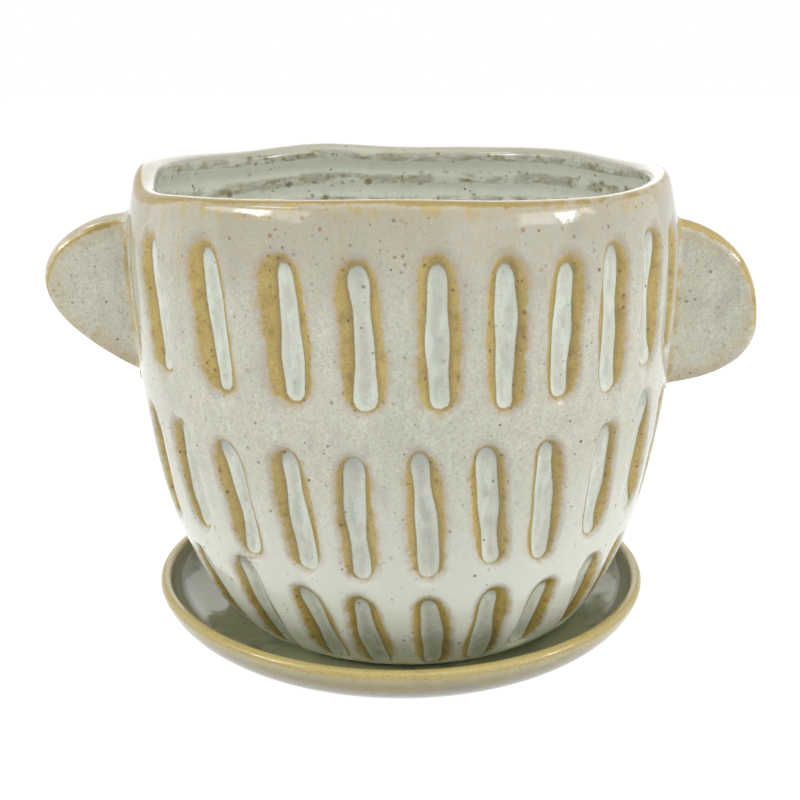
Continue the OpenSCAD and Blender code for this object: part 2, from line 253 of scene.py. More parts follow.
def hand_place(number):
    """Entry of a groove in the lists: its number counted from the front to either side,
    so that the lists, which are shorter than a row, meet at the back."""
    signed = np.where(number > GROOVES / 2, number - GROOVES, number)
    return np.mod(signed + CENTRE_ENTRY, ENTRIES)


def groove_angle(row, z):
    """Angles of a row's 25 groove middles at heights z, as len(z) x 25: the even place,
    plus the groove's own turn, plus its lean times the way down from the row's middle."""
    place = hand_place(COUNT)
    share = np.clip((ROW_TOP[row] - z[:, None]) / ROW_LENGTH[row], 0, 1)
    turn, lean = np.array(ROW_TURN[row])[place], np.array(ROW_LEAN[row])[place]
    return ROW_START[row] + COUNT * PITCH + turn + lean * (share - 0.5)


def carved(row):
    """Which grooves of a row exist: those of the upper rows that keep off the ears."""
    middle = groove_angle(row, ROW_TOP[row : row + 1] - ROW_LENGTH[row] / 2)[0]
    return (row == 2) | (np.abs(np.mod(middle, 180) - 90) >= EAR_KEEP_OFF)


print("grooves in each row:", [int(carved(row).sum()) for row in range(3)])

# %% [markdown]
# ## Columns that follow the carving
#
# A groove drawn across an even grid gets ragged edges. Here the columns of the grid bend
# with the grooves instead: sixteen of them run along each groove, closest together at the
# edge of the pooled glaze, and three fill the land to the next one. Between the rows they
# slide over smoothly, and at the rim and the foot they spread evenly again.

# %% Angles of the columns
GROOVE_W, GROOVE_DEPTH = 11.0, 2.4
ROOM_SHARE = 0.92
HALF_COLUMNS = np.array([0.6, 1.5, 2.1, 2.6, 3.1, 3.9, 4.9, 5.8])
GROOVE_COLUMNS = np.concatenate([-HALF_COLUMNS[::-1], HALF_COLUMNS])
LAND_COLUMNS = 3
CELL = len(GROOVE_COLUMNS) + LAND_COLUMNS
COLUMNS = GROOVES * CELL


def middles(z):
    """Groove middles at every height: each row's own angles, blended smoothly from one
    row to the next over the plain band between them."""
    angle = groove_angle(0, z)
    for row in (1, 2):
        above = ROW_TOP[row - 1] - ROW_LENGTH[row - 1]
        share = ease((above - z) / (above - ROW_TOP[row]))[:, None]
        angle = mix(angle, groove_angle(row, z), share)
    return angle


def squeeze(angle, r):
    """Share of its width that a groove keeps where a neighbour leans close: the gap
    between the two middles in mm, times ROOM_SHARE, over the full width, at most 1."""
    ahead = np.diff(angle, axis=1, append=angle[:, :1] + 360)
    room = np.minimum(ahead, np.roll(ahead, 1, axis=1))
    return np.minimum(1, ROOM_SHARE * np.radians(room) * r[:, None] / GROOVE_W)


def column_angles(z, r):
    """Angles of all columns at each height, bent along the grooves between foot and neck
    and evenly spread beyond: the two are blended by how far z is from the carving."""
    angle = middles(z)
    narrow = squeeze(angle, r)
    step = np.degrees(1 / r)[:, None, None]
    along = angle[:, :, None] + GROOVE_COLUMNS * narrow[:, :, None] * step
    right, left = along[:, :, -1], np.roll(along[:, :, 0], -1, axis=1)
    left[:, -1] += 360
    share = np.arange(1, LAND_COLUMNS + 1) / (LAND_COLUMNS + 1)
    land = mix(right[:, :, None], left[:, :, None], share)
    bent = np.concatenate([along, land], 2).reshape(len(z), COLUMNS)
    even = (np.arange(COLUMNS) - GROOVE_COLUMNS.size / 2 + 0.5) * 360 / COLUMNS
    even = even + (bent - even).mean()
    low_end = ROW_TOP[2] - ROW_LENGTH[2]
    bend = ease(z / low_end) * ease((NECK_Z - z) / (NECK_Z - ROW_TOP[0]))
    return mix(even, bent, bend[:, None])


print("columns around the pot:", COLUMNS)

# %% [markdown]
# ## Depth of the carving
#
# A loop tool enters the clay gently, digs in and comes out again, so each groove is a long
# leaf with a round hollow. How far a point lies inside the leaf gives the depth through
# quarters of sine waves, and that same distance later tells the glaze where to break. The
# molten glaze ran down each groove and pooled along its middle, with a thick wavy edge,
# which is modelled too, because it catches the light.

# %% Distances from the grooves
FAR, LEAF, PHASE = 6.0, 5.0, 6.28
WOBBLES = [(0.38, 5.3, 1.0), (0.13, 2.1, 2.6)]
TOP_MORE, TOP_SPREAD, LENGTH_MORE, LENGTH_SPREAD = 1.2, 1.6, 2.4, 2.2
DRIFT, DRIFT_Z, POOL_WOBBLE = 0.8, 6, 0.9
POOL_HALF, POOL_RISE, POOL_POINT = 2.5, 0.03, 4.5
POOL_TOP, POOL_END = [3.5, 2.1, 2.0], [2.8, 2.0, 1.4]
STEEP_SIDE, SIDE_SHARE, GENTLE, POOL_BANK = 3.7, 0.7, 1.25, 0.7


def wobble(z, row, number, seed):
    """Unevenness of a hand-drawn edge in mm: two sines down the groove whose phases
    differ from groove to groove and from edge to edge."""
    phase = PHASE * chance(row + 1.0, number, seed)
    return sum(size * np.sin(z / pace + turns * phase) for size, pace, turns in WOBBLES)


def groove_fields(z, angle, r):
    """Three grids: mm inside the nearest groove's edge, mm inside its pool of glaze, and
    the share of the way down the groove. Each groove's top and length vary by chance.

    With across and along running from -1 to 1 over a groove, the edge of the leaf lies
    where across squared plus along to the power LEAF is 1, and a point is inside it by
    the half width times (1 less the root of that sum). The pool is a strip with a pointed
    top and a round end: its half width less the length of (way across, way beyond its
    straight part), where the way beyond the top counts for less.
    """
    inside, pool = np.full(angle.shape, -FAR), np.full(angle.shape, -FAR)
    down = np.zeros(angle.shape)
    half = GROOVE_W / 2
    narrow = squeeze(middles(z), r)
    z = z[:, None]
    for row in range(3):
        centre = groove_angle(row, z[:, 0])
        for k in np.flatnonzero(carved(row)):
            turn = np.mod(angle - centre[:, k : k + 1] + 180, 360) - 180
            across = np.radians(turn) * r[:, None] / narrow[:, k : k + 1]
            place = hand_place(k)
            drop = ROW_DROP[row][place]
            top = ROW_TOP[row] + TOP_MORE + TOP_SPREAD * (chance(row, k, 2.0) - 0.5) - drop
            length = ROW_LENGTH[row] + LENGTH_MORE + LENGTH_SPREAD * (chance(row, k, 3.0) - 0.5)
            length += ROW_MORE[row] - drop + ROW_END[row][place]
            along = np.abs(2 * (top - z) / length - 1)
            wide = ROW_WIDE[row][place] + wobble(z, row, k, 1.0)
            uneven = np.where(across < 0, wide, wobble(z, row, k, 4.0))
            leaf = half * (1 - np.sqrt((across / (ROW_HALF[row] + uneven)) ** 2 + along**LEAF))
            slide = np.sin(z / DRIFT_Z + PHASE * chance(row, k, 7.0))
            drift = DRIFT * chance(row, k, 6.0) * slide
            high = top - POOL_TOP[row] - POOL_POINT
            low = top - length + POOL_END[row] + POOL_HALF
            above = (z - high) * POOL_HALF / POOL_POINT
            beyond = np.maximum(0, np.maximum(above, low - z))
            edge = POOL_HALF + POOL_WOBBLE * wobble(z, row, k, 8.0)
            strip = edge - np.hypot(across - drift, beyond)
            near = np.abs(across) < 2 * FAR
            down = np.where(near & (leaf > inside), (top - z) / length, down)
            inside = np.maximum(inside, np.where(near, leaf, -FAR))
            pool = np.maximum(pool, np.where(near, strip, -FAR))
    return inside, pool, down


def carving(inside, pool):
    """Depth in mm: mostly a quarter sine wave over the steep side of the cut, with a
    second, shallower one that goes on to the middle, raised to a power a little over 1 so
    that it starts gently, less the thickness of the pooled glaze."""
    side = np.sin(np.pi / 2 * np.clip(inside / STEEP_SIDE, 0, 1))
    bowl = np.sin(np.pi / 2 * np.clip(2 * inside / GROOVE_W, 0, 1))
    hollow = mix(bowl, side, SIDE_SHARE)
    return GROOVE_DEPTH * hollow**GENTLE - POOL_RISE * ease(pool / POOL_BANK)


# %% [markdown]
# ## The section of the pot
#
# The grid's rows follow the whole section once round: out under the foot, up the wall, over
# the rolled rim, down the inside, across the floor and back through the drain hole. The
# roll could start level at the neck, but that would leave a crease right where the light
# plays, so the wall is led up to meet it in one line. The inside keeps the spiral ridge
# that the thrower's fingers leave.

# %% Rows of the section
WALL_ROWS, RIM_ROWS, INSIDE_ROWS = 110, 17, 42
SOFT_EDGE, EDGE_FLAT, SLOPE_IN, SLOPE_OUT = 0.8, 2, 0.9, 0.3
ROLL_START, LEAD_UP = 19.5, 7.5
SPIRAL_PITCH, SPIRAL_Z, SPIRAL_DEPTH = 7.5, 118.85, 0.75


def arc(x, z, radius, start, end, steps):
    """Points on a round corner: centre plus radius times (cos, sin) of even angles."""
    turn = np.radians(np.linspace(start, end, steps))
    return np.stack([x + radius * np.cos(turn), z + radius * np.sin(turn)], -1)


def line(x0, z0, x1, z1, steps):
    """Evenly spread points from one end towards the other, without the last."""
    share = np.linspace(0, 1, steps, endpoint=False)
    return np.stack([mix(x0, x1, share), mix(z0, z1, share)], -1)


roll_turn = np.radians(ROLL_START)
meet_z = NECK_Z + RIM_T / 2 * np.sin(roll_turn)
meet_r = NECK_R - RIM_T / 2 * (1 - np.cos(roll_turn))


def outside_r(z):
    """Outside radius: the wall's own, eased over the last millimetres so that it ends at
    the point where the roll of the rim begins."""
    return wall_r(z) + (meet_r - wall_r(meet_z)) * ease((z - meet_z + LEAD_UP) / LEAD_UP)


def wall_rows():
    """Heights on the outside wall, spread evenly along its curve: the curve's length is
    summed over many short steps, and the height is read back at even lengths."""
    z = meet_z * np.linspace(0, 1, 4000) ** 2
    way = np.concatenate([[0], np.cumsum(np.hypot(np.diff(z), np.diff(outside_r(z))))])
    return np.interp(np.linspace(0, way[-1], WALL_ROWS, endpoint=False), way, z)


def inside_r(z):
    """Inside radius: the wall's thickness eases from the rolled rim's to the wall's."""
    thickness = mix(WALL, RIM_T, ease((z - NECK_Z + RIM_T) / RIM_T))
    return wall_r(z) - thickness


ring_in = FOOT_R - FOOT_W
corner_z = FLOOR_T + CORNER_R
corner_r = inside_r(np.array([corner_z]))[0] - CORNER_R
wall_z = wall_rows()
inside_z = mix(NECK_Z, corner_z, np.linspace(0, 1, INSIDE_ROWS + 1)[1:] ** 1.25)
section = [
    ("under", arc(DRAIN_R + SOFT_EDGE, FOOT_RECESS + SOFT_EDGE, SOFT_EDGE, 180, 270, 4)),
    ("under", line(DRAIN_R + EDGE_FLAT, FOOT_RECESS, ring_in - SLOPE_IN, FOOT_RECESS, 6)),
    ("under", line(ring_in - SLOPE_IN, FOOT_RECESS, ring_in + SLOPE_OUT, 0, 3)),
    ("foot", line(ring_in + SLOPE_OUT, 0, FOOT_R, 0, 4)),
    ("wall", np.stack([outside_r(wall_z), wall_z], -1)),
    ("rim", arc(NECK_R - RIM_T / 2, NECK_Z, RIM_T / 2, ROLL_START, 180, RIM_ROWS)),
    ("inside", np.stack([inside_r(inside_z), inside_z], -1)),
    ("inside", arc(corner_r, corner_z, CORNER_R, 0, -90, 9)[1:]),
    ("inside", line(corner_r - 2.5, FLOOR_T, DRAIN_R + EDGE_FLAT, FLOOR_T, 8)),
    ("inside", arc(DRAIN_R + SOFT_EDGE, FLOOR_T - SOFT_EDGE, SOFT_EDGE, 90, 180, 4)),
    ("under", line(DRAIN_R, FLOOR_T - SOFT_EDGE - 1, DRAIN_R, FOOT_RECESS + SOFT_EDGE + 0.5, 3)),
]
row_r, row_z = np.concatenate([points for _, points in section]).T
row_kind = np.concatenate([[kind] * len(points) for kind, points in section])
print("rows of the section:", len(row_r))

# %% [markdown]
# ## The pot's shell
#
# Now the rows and the columns meet. The outside gets the carving and a faint swell, so the
# light doesn't run over it in a perfect stripe. The inside gets its spiral. What the glaze
# needs to know is kept as attributes: how far a point is inside a groove and inside its
# pool, how far down the groove, how far from the rim's crest, how high on the spiral ridge,
# and where the clay is bare.

# %% Shape of the pot's shell
SWAY_DEPTH, SWAY_TURNS, SWAY_Z, FOOT_CALM, RIM_CALM = 0.3, 5, 17, 12, 9


def throwing_ridge(angle, z):
    """Spiral ridge from 0 to 1: a squared cosine wave of the height, which slides down by
    one pitch in a full turn and so meets itself again."""
    wave = 0.5 + 0.5 * np.cos(2 * np.pi * ((z - SPIRAL_Z) / SPIRAL_PITCH + angle / 360))
    return wave**2


def pot_shell():
    """Grid of the pot: the section carried round, less the carving, and its fields."""
    angle = column_angles(row_z, np.maximum(row_r, FOOT_R))
    climb = np.interp(
        row_z,
        np.concatenate([[0], (ROW_TOP - ROW_LENGTH / 2)[::-1], [NECK_Z]]),
        np.concatenate([[0], ROW_CLIMB[::-1], [0]]),
    )
    wall = row_kind == "wall"
    inner = row_kind == "inside"
    inside, pool = np.full(angle.shape, -FAR), np.full(angle.shape, -FAR)
    down = np.zeros(angle.shape)
    inside[wall], pool[wall], down[wall] = groove_fields(row_z[wall], angle[wall], row_r[wall])
    z = row_z[:, None] + np.where(wall, climb, 0)[:, None] * np.sin(np.radians(angle))
    r = np.broadcast_to(row_r[:, None], angle.shape).copy()
    r[wall] -= carving(inside[wall], pool[wall])
    sway = 0.5 + 0.5 * swell(np.radians(angle) * SWAY_TURNS, z / SWAY_Z, 0.4)
    calm = ease(row_z / FOOT_CALM) * ease((POT_H - row_z) / RIM_CALM)
    r[wall] -= SWAY_DEPTH * (sway * calm[:, None])[wall]
    ridge = throwing_ridge(angle, z)
    upright = ease((NECK_Z - row_z) / 4) * ease((row_z - FLOOR_T) / CORNER_R)
    r[inner] -= SPIRAL_DEPTH * (ridge * upright[:, None])[inner]
    way = np.concatenate([[0], np.cumsum(np.hypot(np.diff(row_r), np.diff(row_z)))])
    crest = way - way[np.argmax(row_z)]
    bare = np.where(row_kind == "foot", 1.0, 0.0)
    return skin(
        "stoneware_pot",
        on_pot(angle, r, z),
        ring=True,
        carve=inside,
        pool=pool,
        down=down,
        crest=crest[:, None],
        ridge=ridge * upright[:, None] * inner[:, None],
        bare=bare[:, None],
    )


pot = pot_shell()
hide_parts("pot_body")
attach(pot, "pot")

# %% [markdown]
# ## The ears
#
# Each ear is a slab of clay cut with a knife, its edge rubbed round and its root slipped
# onto the wall. It could be a flat curve with a bevel, but the root has to follow the
# belly, so it is a grid again: rows run from the middle of the front face, over the rounded
# edge, to the middle of the back face, and columns run round the outline.

# %% Sizes of the ears
EAR_T, EAR_EDGE, EAR_BED = 8.0, 3.2, 1.2
ROOT_IN, FILLET = 4.0, 2.4
LEFT_EAR = {
    "side": -1, "top": 113.7, "tip": 95, "low": 68, "tip_x": BELLY_R + 24.49,
    "shape": (0.71, 0.05, 0.31, 0.34), "line": (2.2, 0.6),
}
RIGHT_EAR = {
    "side": 1, "top": 112.6, "tip": 83.5, "low": 64.8, "tip_x": BELLY_R + 23.89,
    "shape": (0.91, 0, 0.91, 0.04), "line": (0.9, 1.3),
}
OUTLINE_POINTS = 240


def bend(points, t):
    """Cubic Bezier curve: u cubed a + 3 u squared t b + 3 u t squared c + t cubed d."""
    a, b, c, d = (np.asarray(p, float) for p in points)
    t = t[:, None]
    u = 1 - t
    return u**3 * a + 3 * u * u * t * b + 3 * u * t * t * c + t**3 * d


def ear_half(root, ear, full, slant):
    """Corner points of the curve from a root height to the tip, by fullness and slant."""
    start = wall_r(np.array([root]))[0] - EAR_BED
    way = ear["tip_x"] - start
    return [
        (start, root),
        (start + way * (1 - full), root + way * slant),
        (ear["tip_x"], mix(ear["tip"], root, full)),
        (ear["tip_x"], ear["tip"]),
    ]


def ear_outline(ear):
    """Closed outline of x and z: out along the upper curve to the tip, back along the
    lower one, and up inside the wall. Its points are spread evenly by length."""
    t = np.linspace(0, 1, 200)
    high_full, high_slant, low_full, low_slant = ear["shape"]
    high = bend(ear_half(ear["top"], ear, high_full, high_slant), t)
    low = bend(ear_half(ear["low"], ear, low_full, low_slant), t)[::-1]
    z = np.linspace(ear["low"], ear["top"], 200)
    root = np.stack([wall_r(z) - ROOT_IN, z], -1)
    path = np.concatenate([high, low[1:], root, high[:1]])
    way = np.concatenate([[0], np.cumsum(np.hypot(*np.diff(path, axis=0).T))])
    even = np.linspace(0, way[-1], OUTLINE_POINTS, endpoint=False)
    return np.stack([np.interp(even, way, path[:, n]) for n in (0, 1)], -1)


for name, ear in (("left", LEFT_EAR), ("right", RIGHT_EAR)):
    print(name, "ear outline reaches", ear_outline(ear).max(0).round(1))

# %% [markdown]
# The slip that joins an ear to the pot leaves a small hollow fillet. It is made by letting
# the slab grow thicker, and wider, over the last few millimetres before the wall.

# %% Shape of an ear
FACE_ROWS, EDGE_ROWS = 26, 9
THIN_LINE, ROOT_EDGE, EAR_SWAY = 0.75, 0.3, 0.12


def fillet(x, y, z):
    """Extra thickness near the wall: a quarter circle of radius FILLET, from its full
    height at the wall to nothing one radius away."""
    surface = np.sqrt(np.maximum(wall_r(z) ** 2 - y**2, 0))
    away = np.clip(x - surface, 0, FILLET)
    return FILLET - np.sqrt(FILLET**2 - (FILLET - away) ** 2), x - surface


def burnt_line(ear, from_edge, rise):
    """Millimetres inside the ochre line that follows the edge. On top the line has the
    ear's own place and half width; below, where rise is 0, it is thin and on the edge."""
    middle, half = ear["line"]
    return mix(THIN_LINE, half, rise) - np.abs(from_edge - middle * rise)


def ear_slab(name, ear):
    """Grid of an ear. Each row is the outline drawn in: along the edge by the round of
    the section, and on the faces by its share of the way to the middle of the face."""
    outline = ear_outline(ear)
    ahead, behind = np.roll(outline, -2, axis=0), np.roll(outline, 2, axis=0)
    tangent = ahead - behind
    tangent /= np.linalg.norm(tangent, axis=1)[:, None]
    inward = np.stack([tangent[:, 1], -tangent[:, 0]], -1)
    depth = outline[:, 0] - wall_r(outline[:, 1])
    edge = mix(ROOT_EDGE, EAR_EDGE, ease((depth + ROOT_IN) / (ROOT_IN - 0.5)))
    half = EAR_T / 2
    drawn_in = outline + inward * edge[:, None]
    middle = drawn_in.mean(0)
    share = np.linspace(0.04, 1, FACE_ROWS) ** 0.8
    face = middle + (drawn_in - middle) * share[:, None, None]
    turn = np.radians(np.linspace(0, 180, 2 * EDGE_ROWS + 1))[1:-1, None]
    round_xz = outline + inward * (edge * (1 - np.sin(turn)))[..., None]
    round_y = -np.cos(turn) * edge - np.sign(np.cos(turn)) * (half - edge)
    xz = np.concatenate([face, round_xz, face[::-1]])
    flat = np.full((FACE_ROWS, OUTLINE_POINTS), half)
    y = np.concatenate([-flat, round_y, flat])
    grow, away = fillet(xz[..., 0], y, xz[..., 1])
    y = y * (1 + grow / half)
    outward = np.zeros(xz.shape)
    outward[FACE_ROWS:-FACE_ROWS] = -inward * grow[FACE_ROWS:-FACE_ROWS, :, None]
    xz = xz + outward * (away > -ROOT_IN / 2)[..., None]
    gap = np.linalg.norm(xz.reshape(-1, 1, 2) - outline[depth > -1][None], axis=2)
    from_edge = gap.min(1).reshape(y.shape)
    sway = 0.5 + 0.5 * swell(xz[..., 0] / 5, xz[..., 1] / 6, ear["side"])
    y = y - np.sign(y) * EAR_SWAY * sway
    x = ear["side"] * xz[..., 0] - POT_LEAN * xz[..., 1] / POT_H + POT_SHIFT
    points = np.stack([x, ear["side"] * y, xz[..., 1] + SEAT_Z], -1)
    rise = ease(0.5 - 0.7 * inward[:, 1])
    return skin(name, points, edge=from_edge, root=away, burn=burnt_line(ear, from_edge, rise))


ears = [ear_slab("left_clay_ear", LEFT_EAR), ear_slab("right_clay_ear", RIGHT_EAR)]
for piece, node in zip(ears, ("left_ear", "right_ear")):
    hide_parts(node)
    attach(piece, "pot")

# %% [markdown]
# ## The saucer
#
# The saucer is thrown too: a foot ring, a wall that leaves it almost flat and turns up into
# a rolled lip, and a floor that the pot stands on. A section carried round an axis is just
# how the wheel makes it. A little wander in the lip keeps it from looking machined.

# %% Shape of the saucer
SAUCER_H, SAUCER_R, SAUCER_FLOOR, LIP_T = 16.5, 70.7, 5.3, 3.2
SEAT_R, SAUCER_FOOT_R, SAUCER_FOOT_W, SAUCER_RECESS = 52.0, 50.0, 7.0, 1.2
SAUCER_COLUMNS = 360
LIP_WANDER, LIP_RIPPLE, LIP_DROP, RING_RISE, RING_R = 0.5, 0.15, 0.45, 0.06, 1.9
roll = LIP_T / 2
roll_x, roll_z = SAUCER_R - roll, SAUCER_H - roll
lip_in = roll_x - roll
foot_in = SAUCER_FOOT_R - SAUCER_FOOT_W
outside = [
    (SAUCER_FOOT_R, 0),
    (mix(SAUCER_FOOT_R, SAUCER_R, 0.87), 0.3 * roll_z),
    (SAUCER_R, 0.93 * roll_z),
    (SAUCER_R, roll_z),
]
inner = [
    (lip_in, roll_z),
    (mix(SEAT_R, lip_in, 0.97), mix(SAUCER_FLOOR, roll_z, 0.53)),
    (mix(SEAT_R, lip_in, 0.58), SAUCER_FLOOR),
    (SEAT_R, SAUCER_FLOOR),
]
even = np.linspace(0, 1, 32)
saucer_section = [
    ("under", line(1, SAUCER_RECESS, foot_in - SAUCER_RECESS, SAUCER_RECESS, 12)),
    ("under", line(foot_in - SAUCER_RECESS, SAUCER_RECESS, foot_in, 0, 4)),
    ("foot", line(foot_in, 0, SAUCER_FOOT_R, 0, 5)),
    ("outside", bend(outside, even)),
    ("lip", arc(roll_x, roll_z, roll, 0, 180, 16)[1:-1]),
    ("inside", bend(inner, even)),
    ("inside", line(SEAT_R - 2, SAUCER_FLOOR, 1, SAUCER_FLOOR, 24)),
]


def thrown_saucer():
    """Grid of the saucer: the section carried round, with a lip that wanders inwards and
    downwards by part of a millimetre, and faint rings on its floor."""
    r, z = np.concatenate([points for _, points in saucer_section]).T
    kind = np.concatenate([[name] * len(points) for name, points in saucer_section])
    angle = np.arange(SAUCER_COLUMNS) * 360 / SAUCER_COLUMNS
    turn = np.radians(angle)
    high = ease((z - 3) / (SAUCER_H - 3))[:, None]
    wander = 0.5 + 0.5 * np.sin(2 * turn + 0.6) * np.cos(turn - 0.8)
    ripple = LIP_RIPPLE * (1 + np.sin(5 * turn))
    reach = r[:, None] - high * (LIP_WANDER * wander + ripple)
    rings = (np.sin(r / RING_R) * (kind == "inside"))[:, None] * (1 - high)
    drop = high * LIP_DROP * (0.5 + 0.5 * np.sin(3 * turn + 1.2))
    height = z[:, None] - drop + RING_RISE * rings
    points = np.stack([reach * np.sin(turn), -reach * np.cos(turn), height], -1)
    way = np.concatenate([[0], np.cumsum(np.hypot(np.diff(r), np.diff(z)))])
    crest = way - way[np.argmax(z)]
    bare = np.where(kind == "foot", 1.0, 0.0)
    return skin("thrown_saucer", points, lip=crest[:, None], bare=bare[:, None])


saucer = thrown_saucer()
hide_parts("saucer")
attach(saucer, "saucer")

# %% [markdown]
# ## A kit for glazes
#
# One glaze covers everything, and it looks different wherever it lies thin, thick or over
# an edge. So each finish starts from the same few moves: take a distance that is stored on
# the mesh, roughen it with noise, turn it into a soft or a hard edge, and lay a colour over
# what is there. The small class keeps those moves short. Distances are in millimetres.

# %% Colours and the glaze kit
def shade(red, green, blue):
    """Colour as it is seen, 0 to 255, turned into linear light by the usual 2.4 curve."""
    seen = np.array([red, green, blue]) / 255
    linear = np.where(seen <= 0.04045, seen / 12.92, ((seen + 0.055) / 1.055) ** 2.4)
    return (*linear.tolist(), 1.0)


def mixed_shade(a, b, share):
    """Shade part of the way from a to b."""
    return tuple(mix(x, y, share) for x, y in zip(a, b))


OATMEAL, LILAC, ROSE = shade(204, 204, 186), shade(172, 164, 162), shade(190, 160, 132)
MILK, SAGE, SLATE = shade(208, 213, 196), shade(184, 190, 166), shade(146, 152, 150)
OCHRE, HONEY, UMBER = shade(184, 161, 90), shade(210, 186, 108), shade(122, 100, 48)
BARK, RUST, IRON = shade(108, 84, 50), shade(150, 104, 64), shade(74, 62, 58)
CREAM, CLAY, SNOW = shade(224, 228, 214), shade(198, 172, 138), shade(242, 242, 228)
ASH, CHALK, FLINT = shade(148, 144, 140), shade(230, 232, 214), shade(120, 124, 128)
DUN, MUSTARD, PUTTY = shade(166, 161, 141), shade(160, 136, 64), shade(168, 164, 142)
SMOKE, SEAM, FROST = shade(158, 152, 132), shade(126, 114, 80), shade(226, 233, 224)
MOSS, LICHEN, STRAW = shade(154, 157, 122), shade(118, 124, 106), shade(174, 158, 96)
DRIFTWOOD, PEWTER = shade(130, 124, 102), shade(130, 134, 114)
PINK = mixed_shade(ROSE, OCHRE, 0.4)


class Glaze:
    """A material under way: its node tree, the shader and the colour laid on so far."""

    def __init__(self, name, ground):
        self.material = bpy.data.materials.new(name)
        self.material.use_nodes = True
        self.tree = self.material.node_tree
        self.shader = self.tree.nodes["Principled BSDF"]
        self.place = self.tree.nodes.new("ShaderNodeTexCoord").outputs["Object"]
        self.colour = ground
        self.height = None
        self.grit = self.grain(0.45, 2, 0.7)

    def put(self, socket, value):
        """Link a socket to another, or set its number."""
        if isinstance(value, bpy.types.NodeSocket):
            self.tree.links.new(value, socket)
        else:
            socket.default_value = value

    def field(self, name):
        """A number stored on the mesh."""
        node = self.tree.nodes.new("ShaderNodeAttribute")
        node.attribute_name = name
        return node.outputs["Fac"]

    def sum(self, operation, *values):
        """One step of arithmetic."""
        node = self.tree.nodes.new("ShaderNodeMath")
        node.operation = operation
        for socket, value in zip(node.inputs, values):
            self.put(socket, value)
        return node.outputs[0]

    def times(self, value, other):
        """One value times another."""
        return self.sum("MULTIPLY", value, other)

    def scaled(self, value, factor, more):
        """Value times factor, plus more."""
        return self.sum("MULTIPLY_ADD", value, factor, more)

    def step(self, value, start, end):
        """Smooth step from 0 at start to 1 at end, which may be the smaller one."""
        node = self.tree.nodes.new("ShaderNodeMapRange")
        node.interpolation_type = "SMOOTHSTEP"
        for number, item in enumerate((value, start, end)):
            self.put(node.inputs[number], item)
        return node.outputs[0]

    def rightwards(self):
        """Millimetres from the middle of the part towards +X."""
        node = self.tree.nodes.new("ShaderNodeSeparateXYZ")
        self.put(node.inputs[0], self.place)
        return self.sum("DIVIDE", node.outputs[0], MM)

    def stretched(self, x, y, z):
        """Object coordinates scaled along each axis."""
        node = self.tree.nodes.new("ShaderNodeMapping")
        self.put(node.inputs["Vector"], self.place)
        node.inputs["Scale"].default_value = (x, y, z)
        return node.outputs[0]

    def grain(self, size, detail=2.0, roughness=0.5, place=None, shift=0.0):
        """Noise about 0.5 whose blotches measure about the given number of mm."""
        node = self.tree.nodes.new("ShaderNodeTexNoise")
        node.noise_dimensions = "4D"
        self.put(node.inputs["Vector"], place or self.place)
        node.inputs["W"].default_value = shift
        node.inputs["Scale"].default_value = 1 / (size * MM)
        node.inputs["Detail"].default_value = detail
        node.inputs["Roughness"].default_value = roughness
        return node.outputs["Fac"]

    def ripple(self, *grain):
        """Noise about 0, from -0.5 to 0.5."""
        return self.sum("SUBTRACT", self.grain(*grain), 0.5)

    def specks(self, spacing, size, share, shift=0.0):
        """Specks: cells a few mm apart, of which only a share hold one, shown where the
        distance from the cell's point, roughened by grit, is under a third of the given
        size in mm to all of it."""
        node = self.tree.nodes.new("ShaderNodeTexVoronoi")
        node.voronoi_dimensions = "4D"
        self.put(node.inputs["Vector"], self.place)
        node.inputs["W"].default_value = shift
        node.inputs["Scale"].default_value = 1 / (spacing * MM)
        split = self.tree.nodes.new("ShaderNodeSeparateColor")
        self.put(split.inputs[0], node.outputs["Color"])
        chosen = self.sum("LESS_THAN", split.outputs[0], share)
        part = size / spacing
        reach = self.scaled(split.outputs[1], 0.65 * part, 0.35 * part)
        away = self.scaled(self.grit, -0.9 * part, 0.45 * part)
        away = self.sum("ADD", node.outputs["Distance"], away)
        dot = self.step(away, reach, self.times(reach, 0.45))
        return self.times(dot, chosen)

    def lay(self, colour, cover, strength=1.0):
        """Lay a colour over what is there, by a cover from 0 to 1 or by two, multiplied."""
        node = self.tree.nodes.new("ShaderNodeMix")
        node.data_type = "RGBA"
        if isinstance(cover, tuple):
            cover = self.times(*cover)
        if strength != 1.0:
            cover = self.times(cover, strength)
        self.put(node.inputs["Factor"], cover)
        self.put(node.inputs["A"], self.colour)
        self.put(node.inputs["B"], colour)
        self.colour = node.outputs["Result"]

    def raise_by(self, value, amount):
        """Add a relief of so many mm to the bump."""
        part = self.times(value, amount * MM)
        self.height = part if self.height is None else self.sum("ADD", self.height, part)

    def fire(self, roughness):
        """Hand the colour, the roughness and the bump to the shader."""
        self.put(self.shader.inputs["Base Color"], self.colour)
        self.put(self.shader.inputs["Roughness"], roughness)
        bump = self.tree.nodes.new("ShaderNodeBump")
        bump.inputs["Distance"].default_value = 1.0
        self.put(bump.inputs["Height"], self.height)
        self.put(self.shader.inputs["Normal"], bump.outputs[0])
        print(self.material.name, "has", len(self.tree.nodes), "nodes")
        return self.material


GLOSS, BARE_ROUGH = 0.08, 0.5
SKIN_GRAIN, SKIN_RELIEF, GRIT_RELIEF = 5, 0.09, 0.008


def waver(glaze, size=SKIN_GRAIN, height=SKIN_RELIEF):
    """Relief of the molten surface: broad low waves and fine grit."""
    glaze.raise_by(glaze.grain(size, 2, 0.5, None, 6.0), height)
    glaze.raise_by(glaze.grit, GRIT_RELIEF)


def bare_foot(glaze):
    """Lay clay on the unglazed foot. The result is the roughness all over."""
    bare = glaze.step(glaze.field("bare"), 0.4, 0.6)
    glaze.lay(CLAY, bare)
    return glaze.scaled(bare, BARE_ROUGH, GLOSS)


